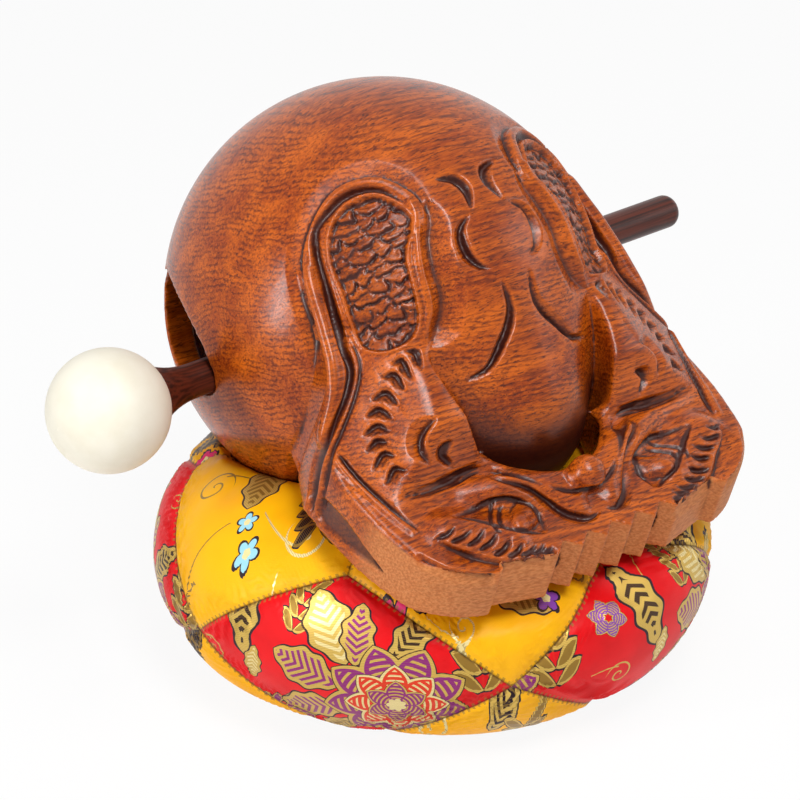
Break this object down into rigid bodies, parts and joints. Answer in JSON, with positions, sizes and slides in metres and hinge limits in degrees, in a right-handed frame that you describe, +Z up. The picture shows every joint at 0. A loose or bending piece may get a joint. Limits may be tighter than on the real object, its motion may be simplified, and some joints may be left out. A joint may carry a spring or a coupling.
{
  "type": "wooden fish temple block",
  "caption": "Hollow carved wooden fish percussion block resting nose-down on a round brocade cushion, with a rubber-headed wooden mallet laid through its ears.",
  "frame": {"origin": "middle of the cushion's flat underside", "axes": "+Z up, the fish's head towards -Y, the mallet along X with its head at -X"},
  "size_m": [0.277, 0.201, 0.198],
  "materials": {
    "carved_wood": "oiled and polished reddish-brown hardwood, cut faces paler and duller",
    "mallet_wood": "dark satin rosewood",
    "mallet_rubber": "matt cream rubber",
    "red_brocade": "red satin brocade with woven flowers",
    "yellow_brocade": "golden yellow satin brocade with woven flowers",
    "filling": "soft cotton wadding"
  },
  "bodies": {
    "cushion": {"cushion_filling": "filling", "side_patch_1": "red_brocade", "side_patch_2": "red_brocade", "side_patch_3": "red_brocade", "side_patch_4": "red_brocade", "side_patch_5": "red_brocade", "top_patch_1": "yellow_brocade", "top_patch_2": "yellow_brocade", "top_patch_3": "yellow_brocade", "top_patch_4": "yellow_brocade", "top_patch_5": "yellow_brocade", "bottom_patch_1": "yellow_brocade", "bottom_patch_2": "yellow_brocade", "bottom_patch_3": "yellow_brocade", "bottom_patch_4": "yellow_brocade", "bottom_patch_5": "yellow_brocade"},
    "fish": {"fish_body": "carved_wood"},
    "mallet": {"mallet_stick": "mallet_wood", "mallet_head": "mallet_rubber"}
  },
  "joints": [
    {"name": "fish_lift", "type": "slide", "parent": "cushion", "child": "fish", "axis": [0, 0, 1], "range_m": [0, 0.15]},
    {"name": "mallet_slide", "type": "slide", "parent": "fish", "child": "mallet", "axis": [-1, 0, 0], "range_m": [0, 0.225]}
  ]
}
